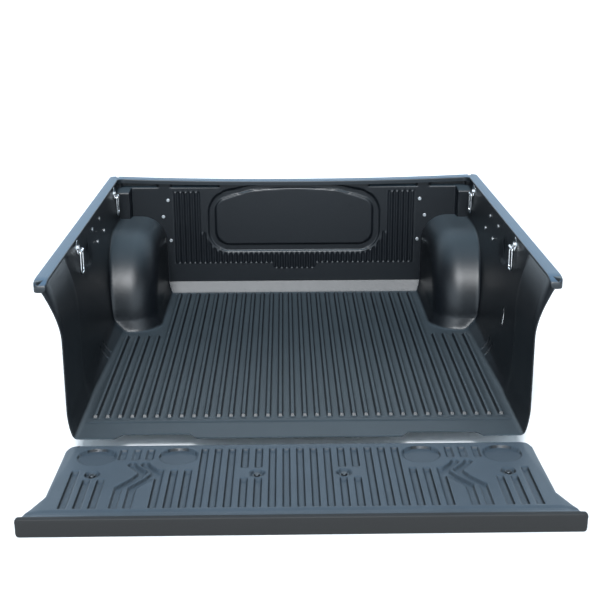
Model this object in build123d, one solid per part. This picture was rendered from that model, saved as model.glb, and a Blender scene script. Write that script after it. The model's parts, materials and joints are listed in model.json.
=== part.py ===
from build123d import *

import os
from math import atan2, cos, degrees, hypot, sin

# Drop-in bed liner for a mid-size pickup, with its rail caps, tie-downs, fasteners and tailgate liner.
# Millimetres. X is across the bed, +Y runs forward to the cab and +Z is up.
# The parts are drawn with Y = 0 at the rear edge of the bed floor, then moved so that the origin is the
# middle of the floor's underside. A "grow" argument draws the same inside space one sheet thickness larger.

# Sheet
wall = 4.0  # thickness of the thermoformed sheet
cap_wall = 3.5  # thickness of the rail, header and tailgate caps

# Bed, inside sizes
bed_length = 1505.0  # rear edge of the floor to the front wall
rail_height = 493.0  # floor's upper face to the top of the rail caps
floor_half_rear = 675.0  # middle to the foot of the side kick, at the rear
floor_half_front = 650.0  # the same beside the wheel arches
kick_height = 45.0  # height of the sloped band round the floor
kick_half = 697.0  # middle to the top of the side kick
rail_half = 735.0  # middle to the top of the side wall
throat_half = 690.0  # middle to the wall at the rear opening
throat_length = 280.0  # straight length of the narrowed rear opening
throat_turn = 70.0  # length over which the wall turns out to its full width
throat_drops = (193.0, 113.0, 55.0)  # rail down to where the rear edge starts to flare, and to two points on it
throat_flare = (0.0, 3.0, 18.0)  # how far it has flared there
front_kick_run = 32.0  # depth of the sloped band below the front wall

# Floor ribs
rib_count = 34
rib_pitch = 38.6
rib_height = 12.0
rib_base = 22.0
rib_crest = 15.0
rib_start = 147.0  # rear edge of the floor to the foot of the ribs' rear ramps
rib_ramp = 16.0
rib_front_gap = 12.0  # ribs end this far behind the front kick
rib_arch_gap = 62.0  # outer ribs end this far behind the wheel arches

# Rear sill
notch_inner = 309.0
notch_outer = 555.0
notch_depth = 30.0
notch_slope = 22.0
bead_start = 114.0  # cross bead between the sill and the ribs
bead_width = 14.0
bead_height = 2.0

# Wheel arches
arch_foot_half = 520.0  # middle to the foot of the arch
arch_foot_rear = 970.0  # rear edge of the floor to the foot of the arch
arch_foot_corner = 120.0
arch_foot_lean = 15.0  # how far the foot band slopes in over the kick height
arch_height = 330.0
arch_rear_radius = 285.0
arch_side_radius = 105.0

# Front wall
ledge_drop = 39.0  # rail down to where the wall steps forward
ledge_step = 13.0
ledges = ((314.0, 511.0), (568.0, 715.0))  # from, to, measured from the middle
boss_inner = 676.0  # stake-pocket bosses in the front corners
boss_depth = 45.0
boss_drop = 54.0  # rail down to the front edge of a boss
boss_slope = 15.0
oval_width = 716.0
oval_bottom = 181.0
oval_drop = 22.0  # rail down to the oval
oval_corner = 85.0
oval_crown = 860.0  # radius of the arched top edge
oval_ring = 30.0  # width of the moat round the raised panel
oval_depth = 8.0
flute_pitch = 21.0
flute_width = 11.0
flute_depth = 3.0
flute_from = 388.0
flute_count = 6
flute_bottom = 132.0
flute_drop = 63.0  # rail down to the flutes

# Side walls
divider_slots = (663.0, 723.0)  # middles of the two board slots in each kick
divider_slot_width = 14.0
divider_slot_reach = 8.0
drain_slot_y = 565.0  # teardrop opening, right wall only
drain_slot_low = 145.0
drain_slot_length = 86.0
drain_slot_radius = 13.0

# Rails
cap_width = 40.0
cap_inner_half = 727.0
cap_outer_drop = 27.0
cap_lip = 8.0
header_lip = 18.0
cap_end_drop = 35.0
cap_end_inner = 738.0
header_depth = 52.0
header_inner = 12.0  # the header cap overhangs the front wall by this much
flange_gap = 1.5  # rail flange to the inside of the cap's outer lip
rear_flange_drop = 193.0
rear_flange_top_half = 761.0

# Fasteners and their clearances
screw_radius = 2.5
screw_hole_gap = 0.5
screw_head_radius = 7.0
screw_head_height = 3.0
screw_length = 22.0
shank_relief = 0.2  # a bolt's plain shank is this much thinner than its thread
clip_size = 18.0
clip_wall = 1.5
side_screws = ((835.0, 53.0), (1000.0, 53.0), (905.0, 117.0), (1060.0, 113.0))  # distance forward, rail down
front_screws = ((525.0, 95.0), (547.0, 165.0), (518.0, 268.0))  # distance from the middle, rail down
rail_clip_count = 6
rail_clip_length = 30.0
rail_clip_reach = 20.0
rail_clip_drop = 24.0

# Tie-downs
tie_rear = 530.0
tie_front = 1390.0
tie_drop = 40.0  # rail down to a tie-down bolt
tie_plate_radius = 25.0
tie_plate_wall = 4.0
tie_bolt_radius = 4.0
tie_bolt_head = 7.0
tie_bolt_head_height = 5.0
tie_bolt_length = 32.0
tie_hole_gap = 0.3
ring_wire = 4.0  # radius of the wire
ring_width = 42.0
ring_length = 76.0
ring_top_corner = 5.5
ring_low_corner = 15.0
ring_offset = 13.0  # wall face to the middle of the ring's bar
ring_drop = 12.5  # bolt axis to the middle of the ring's bar
ring_gap = 0.3  # bar to the lugs' bores
lug_width = 6.0
lug_middle = 12.0  # plate's middle to the middle of a lug
lug_radius = 7.0

# Tailgate liner, drawn open
gate_top = -4.0  # height of its upper face
gate_start = 35.0  # rear edge of the floor to its hinge-side edge
gate_end = 492.0
gate_half = 692.0
gate_corner = 24.0
ear_start = 358.0
ear_end = 474.0
ear_half = 748.0
gate_groove_width = 21.0
gate_groove_depth = 6.0
gate_pitch = 39.8
gate_groove_from = 60.0
gate_groove_to = 430.0
gate_bolt_clear_above = 38.0  # grooves keep this far from a bolt, towards the hinge
gate_bolt_clear_below = 26.0  # and this far on the other side, and below a round recess
gate_short_groove = 73.0  # length of the grooves between two round recesses
gate_circle_radius = 54.0
gate_circle_y = 121.0
gate_circles = (354.0, 592.0)
gate_circle_depth = 5.0
gate_bolt_y = 229.0
gate_bolts = (123.0, 587.0)
gate_bolt_recess = 25.0
gate_bolt_depth = 8.0
gate_bolt_radius = 4.0
gate_bolt_head = 9.0
gate_bolt_head_height = 5.0
gate_bolt_length = 26.0
washer_radius = 13.0
washer_wall = 1.6
gate_cap_height = 46.0
gate_cap_lip = 14.0
gate_cap_back = 26.0
hinge_drop = 8.0  # liner's upper face down to the hinge line
closed_gap = 8.0  # closed tailgate liner to the rear edge of the floor

# Worked out from the sizes above
floor_top = wall
throat_heights = [rail_height - drop for drop in throat_drops]
oval_top = rail_height - oval_drop
tie_height = rail_height - tie_drop
top_z = floor_top + rail_height
cap_under = top_z - cap_wall
kick_top = floor_top + kick_height
lean = atan2(rail_half - kick_half, cap_under - kick_top)
hinge_y = -(closed_gap + hinge_drop)
hinge_z = gate_top - hinge_drop
far = 2.0 * bed_length
sides = {"left": -1, "right": 1}


def mitred(points, grow):
    """Moves every edge of a counter-clockwise outline outwards by the same distance."""
    moved = []
    for i, (x, y) in enumerate(points):
        before = points[i - 1]
        after = points[(i + 1) % len(points)]
        ax, ay = x - before[0], y - before[1]
        bx, by = after[0] - x, after[1] - y
        a, b = hypot(ax, ay), hypot(bx, by)
        nx, ny = ay / a + by / b, -ax / a - bx / b
        scale = grow / (1.0 + (ax * bx + ay * by) / (a * b))
        moved.append((x + nx * scale, y + ny * scale))
    return moved


def outline_yz(points, x=0.0):
    return Face(Wire.make_polygon([Vector(x, y, z) for y, z in points], close=True))


def outline_xz(points, y=0.0):
    return Face(Wire.make_polygon([Vector(x, y, z) for x, z in points], close=True))


def block(x0, x1, y0, y1, z0, z1):
    """A box given by its lowest and highest corners."""
    middle = Pos((x0 + x1) / 2, (y0 + y1) / 2, (z0 + z1) / 2)
    return middle * Box(abs(x1 - x0), abs(y1 - y0), abs(z1 - z0))


def mirrored(solids):
    """The same solids and their reflections across the bed's middle plane."""
    return solids + [solid.mirror(Plane.YZ) for solid in solids]


def wall_x(z):
    """Distance from the middle to the side wall's inner face at height z."""
    return kick_half + (z - kick_top) * (rail_half - kick_half) / (cap_under - kick_top)


def wall_plane(side, y, height):
    """A plane on the inner face of a side wall: its normal points into the bed and its y axis runs up the wall."""
    z = floor_top + height
    normal = (-side * cos(lean), 0, sin(lean))
    return Plane(origin=(side * wall_x(z), y, z), x_dir=(0, -side, 0), z_dir=normal)


# The tub's inside space


def side_profile(floor_half, narrow):
    """Half of the bed's cross-section, from the foot of the kick to above the rail."""
    if narrow:
        wall_points = [(throat_half, kick_top)]
        for height, flare in zip(throat_heights, throat_flare):
            wall_points.append((throat_half + flare, floor_top + height))
    else:
        wall_points = [(kick_half, kick_top)]
        for height in throat_heights:
            wall_points.append((wall_x(floor_top + height), floor_top + height))
    above = cap_under + 60.0
    return [(floor_half, floor_top), *wall_points, (rail_half, cap_under), (wall_x(above), above)]


def bed_section(y, floor_half, narrow, grow):
    half = side_profile(floor_half, narrow)
    points = half + [(-x, z) for x, z in reversed(half)]
    return outline_xz(mitred(points, grow), y)


def trough(grow):
    """The bed's inside without arches or ribs, open at the rear and the top."""
    stations = [
        (-60.0, floor_half_rear, True),
        (throat_length, floor_half_rear, True),
        (throat_length + throat_turn, floor_half_rear, False),
        (arch_foot_rear, floor_half_front, False),
        (bed_length + 60.0, floor_half_front, False),
    ]
    body = loft([bed_section(y, half, narrow, grow) for y, half, narrow in stations], ruled=True)
    slope = front_kick_run / kick_height
    front = [
        (-far, -far),
        (bed_length - front_kick_run - slope * (floor_top + far), -far),
        (bed_length, kick_top),
        (bed_length, far),
        (-far, far),
    ]
    return body & extrude(outline_yz(mitred(front, grow)), amount=far, both=True)


def arch_foot_outline(z, shrink):
    """The arch's outline on the floor side of its foot band, at height z."""
    inset = arch_foot_lean * (z - floor_top) / kick_height
    inset += shrink * hypot(arch_foot_lean, kick_height) / kick_height
    x0, y0 = arch_foot_half + inset, arch_foot_rear + inset
    width, depth = rail_half + 100.0 - x0, bed_length + 100.0 - y0
    outline = Rectangle(width, depth, align=(Align.MIN, Align.MIN))
    corner = outline.vertices().sort_by(Axis.X)[:2].sort_by(Axis.Y)[0]
    return Pos(x0, y0, z) * fillet(corner, arch_foot_corner - inset)


def arch(shrink):
    """One wheel arch: a sloped foot band below a body with a rounded rear and a rounded inner shoulder."""
    foot = loft([arch_foot_outline(-20.0, shrink), arch_foot_outline(kick_top, shrink)], ruled=True)
    x0 = arch_foot_half + arch_foot_lean + shrink
    y0 = arch_foot_rear + arch_foot_lean + shrink
    top = floor_top + arch_height - shrink
    side = Pos(y0, -20.0) * Rectangle(bed_length + 100.0 - y0, top + 20.0, align=(Align.MIN, Align.MIN))
    upper = side.vertices().sort_by(Axis.Y)[-2:].sort_by(Axis.X)[0]
    side = fillet(upper, arch_rear_radius - shrink)
    body = extrude(Plane.YZ.offset(x0) * side, amount=rail_half + 100.0 - x0)
    inner = body.faces().sort_by(Axis.X)[0]
    shoulder = [edge for edge in inner.edges() if edge.center().Z > 0 and edge.center().Y < bed_length + 90.0]
    return foot + fillet(shoulder, arch_side_radius - shrink)


def rib(x, y_end, shrink):
    """One raised floor rib with ramped ends, reaching down through the floor."""
    base, crest = rib_base / 2, rib_crest / 2
    top = floor_top + rib_height
    steep = (base - crest) / rib_height
    section = [
        (-base - steep * 20.0, floor_top - 20.0),
        (base + steep * 20.0, floor_top - 20.0),
        (crest, top),
        (-crest, top),
    ]
    ramp = rib_ramp / rib_height
    side = [
        (rib_start - ramp * 20.0, floor_top - 20.0),
        (y_end + ramp * 20.0, floor_top - 20.0),
        (y_end - rib_ramp, top),
        (rib_start + rib_ramp, top),
    ]
    across = outline_xz([(x + px, pz) for px, pz in mitred(section, -shrink)])
    bar = extrude(across, amount=far, dir=(0, 1, 0))
    return bar & extrude(outline_yz(mitred(side, -shrink), x), amount=rib_base, both=True)


def ribs(shrink):
    """All the floor ribs; those in line with an arch stop behind it."""
    solids = []
    for i in range(rib_count):
        x = (i - (rib_count - 1) / 2) * rib_pitch
        y_end = bed_length - front_kick_run - rib_front_gap
        if abs(x) + rib_base / 2 > arch_foot_half:
            y_end = arch_foot_rear - rib_arch_gap + rib_ramp
        solids.append(rib(x, y_end, shrink))
    return solids


def boss(shrink):
    """The boxed corner over a stake pocket, with a sloped top."""
    low = arch_height - 60.0
    back = bed_length + 60.0
    slope = boss_slope / boss_depth
    section = [
        (bed_length - boss_depth, low),
        (back, low),
        (back, top_z - boss_drop + slope * (boss_depth + 60.0)),
        (bed_length - boss_depth, top_z - boss_drop),
    ]
    face = outline_yz(mitred(section, -shrink), boss_inner + shrink)
    return extrude(face, amount=far, dir=(1, 0, 0))


def oval(spread, y0, y1):
    """The front wall's oval between two depths: rounded at the corners, with an arched top edge."""
    width, height = oval_width + 2 * spread, oval_top - oval_bottom + 2 * spread
    outline = Pos(0, (oval_top + oval_bottom) / 2) * RectangleRounded(width, height, oval_corner + spread)
    outline = outline & (Pos(0, oval_top - oval_crown) * Circle(oval_crown + spread))
    start = Plane(origin=(0, y0, floor_top), x_dir=(1, 0, 0), z_dir=(0, -1, 0))
    return extrude(start * outline, amount=y0 - y1)


def front_recesses(grow):
    """Ledge steps and flutes pressed forward into the front wall, right half."""
    solids = []
    for x0, x1 in ledges:
        low = top_z - ledge_drop - grow
        solids.append(block(x0 - grow, x1 + grow, bed_length - 5, bed_length + ledge_step + grow, low, far))
    for i in range(flute_count):
        x = flute_from + i * flute_pitch
        half = flute_width / 2 + grow
        low, high = floor_top + flute_bottom - grow, top_z - flute_drop + grow
        solids.append(block(x - half, x + half, bed_length - 5, bed_length + flute_depth + grow, low, high))
    return solids


def slot_recesses(grow):
    """The two upright slots in the side kick that hold a divider board, right half."""
    solids = []
    for y in divider_slots:
        half = divider_slot_width / 2 + grow
        x1 = kick_half + divider_slot_reach + grow
        solids.append(block(floor_half_front - 40, x1, y - half, y + half, floor_top + 12 - grow, kick_top))
    return solids


def bead(shrink):
    """The low cross bead between the sill and the ribs."""
    half = floor_half_rear - 12.0 - shrink
    y0, y1 = bead_start + shrink, bead_start + bead_width - shrink
    return block(-half, half, y0, y1, floor_top - 20.0, floor_top + bead_height - shrink)


def inside(grow):
    """The whole inside space of the tub, one thickness larger when grow is the sheet's thickness."""
    recesses = mirrored(front_recesses(grow) + slot_recesses(grow))
    recesses.append(oval(grow, bed_length - 1.0, bed_length + oval_depth + grow))
    raised = mirrored([arch(grow), boss(grow)]) + ribs(grow) + [bead(grow)]
    raised.append(oval(-oval_ring - grow, bed_length + grow, bed_length + 5 * oval_depth))
    return trough(grow) + recesses - raised


# The tub


def rear_flange():
    """The rear edge turned outwards where the opening flares, right half."""
    low = top_z - rear_flange_drop
    points = [
        (throat_half - 40, low),
        (throat_half + wall, low),
        (throat_half + wall + 14, low + 72),
        (rear_flange_top_half - 12, low + 150),
        (rear_flange_top_half, cap_under),
        (throat_half - 40, cap_under),
    ]
    return extrude(outline_xz(points), amount=wall, dir=(0, 1, 0))


def sill_notch():
    """The cut-out in the rear edge that clears a tailgate hinge, right half."""
    points = [
        (notch_inner, -5.0),
        (notch_outer, -5.0),
        (notch_outer, 0.0),
        (notch_outer - notch_slope, notch_depth),
        (notch_inner + notch_slope, notch_depth),
        (notch_inner, 0.0),
    ]
    face = Face(Wire.make_polygon([Vector(x, y, -5.0) for x, y in points], close=True))
    return extrude(face, amount=wall + 20.0, dir=(0, 0, 1))


def teardrop():
    """The teardrop opening through the right wall, narrow end up."""
    r = drain_slot_radius
    tip = drain_slot_length - r
    outline = Circle(r) + Polygon((-r * 0.97, r * 0.25), (r * 0.97, r * 0.25), (0, tip), align=None)
    z = floor_top + drain_slot_low + r
    across = Plane(origin=(kick_half - 40, drain_slot_y, z), x_dir=(0, 1, 0), z_dir=(1, 0, 0))
    return extrude(across * outline, amount=120)


def fastener_holes():
    """Clearance holes for the side and front screws and the tie-down bolts."""
    tools = []
    r = screw_radius + screw_hole_gap
    for side in sides.values():
        for y, drop in side_screws:
            tools.append(wall_plane(side, y, rail_height - drop) * Cylinder(r, 40))
        for y in (tie_rear, tie_front):
            tools.append(wall_plane(side, y, tie_height) * Cylinder(tie_bolt_radius + tie_hole_gap, 40))
        for x, drop in front_screws:
            tools.append(Pos(side * x, bed_length, top_z - drop) * Rot(90, 0, 0) * Cylinder(r, 40))
    return tools


def tub_liner():
    """The one-piece formed tub: floor, kicks, arches, walls and the flange under the rail caps."""
    outer_y = bed_length - header_inner + header_depth - cap_wall - flange_gap
    flange_half = cap_inner_half + cap_width - cap_wall - flange_gap
    body = inside(wall) & block(-far, far, 0, far, -far, cap_under)
    body += block(-flange_half, flange_half, 0, outer_y, cap_under - wall, cap_under)
    body += mirrored([rear_flange()])
    body -= inside(0.0)
    return body - mirrored([sill_notch()]) - [teardrop()] - fastener_holes()


# Caps


def rail_cap(side):
    """A rail cap: a top plate with a short inner lip, a deep outer lip and a closed rear end."""
    x0, x1 = cap_inner_half, cap_inner_half + cap_width
    section = [
        (x0, top_z),
        (x0, cap_under),
        (x1 - cap_wall, cap_under),
        (x1 - cap_wall, top_z - cap_outer_drop),
        (x1, top_z - cap_outer_drop),
        (x1, top_z),
    ]
    lip_end = bed_length - header_inner
    body = extrude(outline_xz(section), amount=lip_end + header_depth, dir=(0, 1, 0))
    body += block(x0, x0 + cap_wall, 0, lip_end, top_z - cap_lip, cap_under)
    end = [
        (x0, top_z),
        (x0, top_z - cap_lip),
        (cap_end_inner, top_z - cap_end_drop),
        (x1, top_z - cap_end_drop),
        (x1, top_z),
    ]
    body += extrude(outline_xz(end), amount=cap_wall, dir=(0, -1, 0))
    return body if side > 0 else body.mirror(Plane.YZ)


def header_cap():
    """The cap over the front wall, between the two rail caps."""
    y0 = bed_length - header_inner
    y1 = y0 + header_depth
    section = [
        (y0, top_z),
        (y0, top_z - header_lip),
        (y0 + cap_wall, top_z - header_lip),
        (y0 + cap_wall, cap_under),
        (y1 - cap_wall, cap_under),
        (y1 - cap_wall, top_z - cap_outer_drop),
        (y1, top_z - cap_outer_drop),
        (y1, top_z),
    ]
    return extrude(outline_yz(section), amount=cap_inner_half, both=True)


def rail_clips():
    """Bent clips under the side flanges that hold them to the truck's rail."""
    edge = cap_inner_half + cap_width - cap_wall - flange_gap
    z1 = cap_under - wall
    solids = []
    for i in range(rail_clip_count):
        y = bed_length * (i + 0.5) / rail_clip_count
        y0, y1 = y - rail_clip_length / 2, y + rail_clip_length / 2
        clip = block(edge - rail_clip_reach, edge, y0, y1, z1 - clip_wall, z1)
        clip += block(edge - clip_wall, edge, y0, y1, z1 - rail_clip_drop, z1)
        solids.append(clip)
    return Compound(mirrored(solids))


# Fasteners


def screw(plane, head_radius, head_height, radius, length, stand=0.0, grip=0.0):
    """A screw whose head stands this far above the plane; the shank is a little thinner down to the grip's end."""
    head = Pos(0, 0, stand + head_height / 2) * Cylinder(head_radius, head_height)
    head = fillet(head.edges().group_by(Axis.Z)[-1], head_height * 0.4)
    thread = Pos(0, 0, stand - (grip + length) / 2) * Cylinder(radius, length - grip)
    if grip:
        thread += Pos(0, 0, stand - grip / 2) * Cylinder(radius - shank_relief, grip)
    return plane * (head + thread)


def small_screw(plane):
    return screw(plane, screw_head_radius, screw_head_height, screw_radius, screw_length)


def small_clip(plane):
    """A spring nut behind the sheet, in line with its screw."""
    plate = Pos(0, 0, -wall - clip_wall / 2) * Box(clip_size, clip_size, clip_wall)
    return plane * (plate - Cylinder(screw_radius + 0.1, 40))


def side_planes(side):
    return [wall_plane(side, y, rail_height - drop) for y, drop in side_screws]


def front_planes():
    planes = []
    for side in sides.values():
        for x, drop in front_screws:
            planes.append(Plane(origin=(side * x, bed_length, top_z - drop), z_dir=(0, -1, 0)))
    return planes


def tie_planes():
    planes = []
    for side in sides.values():
        for y in (tie_rear, tie_front):
            planes.append(wall_plane(side, y, tie_height))
    return planes


def tie_bolts():
    grip = 2 * tie_plate_wall + wall
    args = (tie_bolt_head, tie_bolt_head_height, tie_bolt_radius, tie_bolt_length, tie_plate_wall, grip)
    return Compound([screw(plane, *args) for plane in tie_planes()])


def tie_backing_plates():
    solids = []
    for plane in tie_planes():
        plate = Pos(0, 0, -wall - tie_plate_wall / 2) * Cylinder(tie_plate_radius, tie_plate_wall)
        solids.append(plane * (plate - Cylinder(tie_bolt_radius + tie_hole_gap, 60)))
    return Compound(solids)


# Tie-downs


def tie_plate(plane):
    """A round plate with two lugs that carry the ring's bar."""
    plate = Pos(0, 0, tie_plate_wall / 2) * Cylinder(tie_plate_radius, tie_plate_wall)
    plate = fillet(plate.edges().group_by(Axis.Z)[-1], tie_plate_wall * 0.4)
    for x in (-lug_middle, lug_middle):
        foot = Pos(x, -ring_drop, ring_offset / 2) * Box(lug_width, 2 * lug_radius, ring_offset)
        eye = Pos(x, -ring_drop, ring_offset) * Rot(0, 90, 0) * Cylinder(lug_radius, lug_width)
        plate += foot + eye
    bore = Pos(0, -ring_drop, ring_offset) * Rot(0, 90, 0) * Cylinder(ring_wire + ring_gap, 60)
    return plane * (plate - bore - Cylinder(tie_bolt_radius + tie_hole_gap, 60))


def ring_pivot(plane):
    return plane.from_local_coords(Vector(0, -ring_drop, ring_offset))


def tie_ring(plane):
    """A wire loop that hangs straight down from its bar."""
    pivot = ring_pivot(plane)
    hang = Plane(origin=pivot, x_dir=plane.x_dir, z_dir=(plane.z_dir.X, 0, 0))
    outline = Pos(0, -ring_length / 2) * Rectangle(ring_width, ring_length)
    outline = fillet(outline.vertices().sort_by(Axis.Y)[:2], ring_low_corner)
    outline = fillet(outline.vertices().sort_by(Axis.Y)[-2:], ring_top_corner)
    path = outline.face().outer_wire()
    start = path.edges().sort_by(Axis.Y)[-1]
    profile = Plane(origin=start @ 0.5, z_dir=start % 0.5) * Circle(ring_wire)
    return hang * sweep(profile, path)


# Tailgate liner


def gate_outline():
    """The tailgate liner's outline seen from above, with ears at its upper edge."""
    half = [
        (gate_half, -gate_start),
        (gate_half, -ear_start),
        (ear_half, -ear_end),
        (ear_half, -gate_end),
    ]
    points = half + [(-x, y) for x, y in reversed(half)]
    face = Face(Wire.make_polygon([Vector(x, y, 0) for x, y in points], close=True))
    corners = face.vertices().sort_by(Axis.Y)[-2:]
    return fillet(corners, gate_corner)


def groove_runs():
    """Each straight groove of the right half as distance from the middle, start and end."""
    runs = []
    for k in range(0, 17):
        x = k * gate_pitch
        if k in (3, 4):
            runs.append((x, gate_groove_from, gate_bolt_y - gate_bolt_clear_above))
            runs.append((x, gate_bolt_y + gate_bolt_clear_below, gate_groove_to))
        elif k in (8, 9, 10, 16):
            runs.append((x, gate_circle_y + gate_bolt_clear_below, gate_groove_to))
        elif k in (11, 12, 13):
            runs.append((x, gate_groove_from, gate_groove_from + gate_short_groove))
        elif k in (14, 15):
            runs.append((x, gate_bolt_y + gate_bolt_clear_below, gate_groove_to))
        else:
            runs.append((x, gate_groove_from, gate_groove_to))
    return runs


def zigzags():
    """The two bent channels of the right half, as corner points from the upper edge inwards."""
    bends = [(502.0, gate_groove_to), (502.0, 312.0), (458.0, 250.0), (446.0, 216.0), (482.0, 170.0)]
    return [bends, [(x - gate_pitch + 2.0, y) for x, y in bends]]


def gate_pressings(grow):
    """Grooves, channels and round recesses pressed down into the tailgate liner."""
    width = gate_groove_width / 2 + grow
    low = gate_top - gate_groove_depth - grow
    right = []
    middle = []
    for x, y0, y1 in groove_runs():
        cut = block(x - width, x + width, -y1 - grow, -y0 + grow, low, gate_top)
        (middle if x == 0 else right).append(cut)
    for bends in zigzags():
        for (ax, ay), (bx, by) in zip(bends, bends[1:]):
            run = hypot(bx - ax, by - ay) + 2 * width
            turn = degrees(atan2(-(by - ay), bx - ax))
            place = Pos((ax + bx) / 2, -(ay + by) / 2, (low + gate_top) / 2) * Rot(0, 0, turn)
            right.append(place * Box(run, 2 * width * 0.8, gate_top - low))
    for x in gate_circles:
        depth = gate_circle_depth + grow
        right.append(Pos(x, -gate_circle_y, gate_top - depth / 2) * Cylinder(gate_circle_radius + grow, depth))
    for x in gate_bolts:
        depth = gate_bolt_depth + grow
        right.append(Pos(x, -gate_bolt_y, gate_top - depth / 2) * Cylinder(gate_bolt_recess + grow, depth))
    return middle + mirrored(right)


def gate_bolt_planes():
    z = gate_top - gate_bolt_depth
    return [Plane(origin=(side * x, -gate_bolt_y, z)) for side in sides.values() for x in gate_bolts]


def tailgate_liner():
    """The tailgate's formed panel, with its upper edge under the cap."""
    plate = extrude(Pos(0, 0, gate_top) * gate_outline(), amount=wall, dir=(0, 0, -1))
    plate = plate + gate_pressings(wall)
    plate = plate - gate_pressings(0.0)
    return plate - [plane * Cylinder(gate_bolt_radius + tie_hole_gap, 60) for plane in gate_bolt_planes()]


def tailgate_top_cap():
    """The cap that wraps the tailgate's upper edge, from above the liner to the outer face."""
    y0 = -gate_end
    low = gate_top - gate_cap_height
    section = [
        (y0 + gate_cap_lip, gate_top + cap_wall),
        (y0 + gate_cap_lip, gate_top),
        (y0, gate_top),
        (y0, low),
        (y0 + gate_cap_back, low),
        (y0 + gate_cap_back, low - cap_wall),
        (y0 - cap_wall, low - cap_wall),
        (y0 - cap_wall, gate_top + cap_wall),
    ]
    body = extrude(outline_yz(section), amount=ear_half, both=True)
    end = block(ear_half - cap_wall, ear_half, y0, y0 + gate_cap_back, low, gate_top - wall)
    return body + mirrored([end])


def gate_bolt_set():
    grip = washer_wall + wall + clip_wall
    args = (gate_bolt_head, gate_bolt_head_height, gate_bolt_radius, gate_bolt_length, washer_wall, grip)
    return Compound([screw(plane, *args) for plane in gate_bolt_planes()])


def gate_washers():
    solids = []
    for plane in gate_bolt_planes():
        ring = Pos(0, 0, washer_wall / 2) * Cylinder(washer_radius, washer_wall)
        solids.append(plane * (ring - Cylinder(gate_bolt_radius + tie_hole_gap, 20)))
    return Compound(solids)


def gate_nuts():
    """Spring nuts under the tailgate liner, in line with its bolts."""
    solids = []
    for plane in gate_bolt_planes():
        plate = Pos(0, 0, -wall - clip_wall / 2) * Box(clip_size + 6, clip_size + 6, clip_wall)
        solids.append(plane * (plate - Cylinder(gate_bolt_radius + 0.1, 40)))
    return Compound(solids)


def build():
    """Every node by name."""
    nodes = {"tub_liner": tub_liner(), "header_cap": header_cap(), "rail_clips": rail_clips()}
    for name, side in sides.items():
        nodes[f"rail_cap_{name}"] = rail_cap(side)
        nodes[f"side_screws_{name}"] = Compound([small_screw(plane) for plane in side_planes(side)])
        nodes[f"side_screw_clips_{name}"] = Compound([small_clip(plane) for plane in side_planes(side)])
        for place, y in (("rear", tie_rear), ("front", tie_front)):
            plane = wall_plane(side, y, tie_height)
            nodes[f"tie_down_plate_{place}_{name}"] = tie_plate(plane)
            nodes[f"tie_down_ring_{place}_{name}"] = tie_ring(plane)
    nodes["front_wall_screws"] = Compound([small_screw(plane) for plane in front_planes()])
    nodes["front_wall_screw_clips"] = Compound([small_clip(plane) for plane in front_planes()])
    nodes["tie_down_bolts"] = tie_bolts()
    nodes["tie_down_backing_plates"] = tie_backing_plates()
    nodes["tailgate_liner"] = tailgate_liner()
    nodes["tailgate_top_cap"] = tailgate_top_cap()
    nodes["tailgate_bolts"] = gate_bolt_set()
    nodes["tailgate_washers"] = gate_washers()
    nodes["tailgate_nuts"] = gate_nuts()
    return nodes


to_origin = Pos(0, -bed_length / 2, 0)
os.makedirs("parts", exist_ok=True)
for node_name, shape in build().items():
    export_step(to_origin * shape, f"parts/{node_name}.step")
print("tailgate hinge:", hinge_y - bed_length / 2, hinge_z)
for ring_plane in tie_planes():
    print("ring pivot:", ring_pivot(ring_plane) - Vector(0, bed_length / 2, 0))
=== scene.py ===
import json
from math import cos, pi, radians, sin

import bpy
import numpy as np
from mathutils import Matrix, Vector


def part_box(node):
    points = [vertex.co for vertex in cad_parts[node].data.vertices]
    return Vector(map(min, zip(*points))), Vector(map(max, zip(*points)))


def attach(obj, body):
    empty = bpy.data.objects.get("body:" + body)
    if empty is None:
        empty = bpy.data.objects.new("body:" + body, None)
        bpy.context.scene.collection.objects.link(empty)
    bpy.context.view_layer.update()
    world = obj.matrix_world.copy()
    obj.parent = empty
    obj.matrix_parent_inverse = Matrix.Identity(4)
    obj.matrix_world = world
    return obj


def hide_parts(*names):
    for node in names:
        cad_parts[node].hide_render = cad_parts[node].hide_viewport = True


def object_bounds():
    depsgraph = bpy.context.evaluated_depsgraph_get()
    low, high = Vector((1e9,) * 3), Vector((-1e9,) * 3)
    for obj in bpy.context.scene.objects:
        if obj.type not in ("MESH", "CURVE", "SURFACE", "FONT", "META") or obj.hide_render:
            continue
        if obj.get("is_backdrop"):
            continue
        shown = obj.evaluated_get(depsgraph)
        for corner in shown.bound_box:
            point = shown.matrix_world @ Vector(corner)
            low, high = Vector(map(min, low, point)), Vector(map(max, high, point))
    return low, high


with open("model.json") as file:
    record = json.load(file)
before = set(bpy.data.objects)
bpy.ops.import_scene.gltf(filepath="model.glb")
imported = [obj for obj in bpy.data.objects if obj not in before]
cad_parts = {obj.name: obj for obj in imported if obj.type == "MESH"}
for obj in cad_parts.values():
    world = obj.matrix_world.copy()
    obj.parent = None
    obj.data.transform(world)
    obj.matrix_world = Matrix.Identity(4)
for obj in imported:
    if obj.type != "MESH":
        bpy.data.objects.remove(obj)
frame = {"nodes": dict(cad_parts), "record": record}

# A drop-in bed liner: a formed tub, its caps and tie-downs, and the tailgate liner. Metres.
# Surfaces are worked out with y = 0 at the rear edge of the bed floor, then moved back by
# half the bed's length.

cad_low, cad_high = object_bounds()

floor_low, floor_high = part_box("tub_liner")
half_length = -floor_low.y
sheet, cap_wall, cap_skin = 0.004, 0.0035, 0.003
kick_height = 0.045
floor_top = floor_low.z + sheet
bed_length = 2 * half_length
rail_under = floor_high.z
kick_top = floor_top + kick_height
cap_top = rail_under + cap_wall
wall_head, wall_lean = 0.735, 0.038


# Fields: positive inside, in metres, zero on the surface


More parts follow.
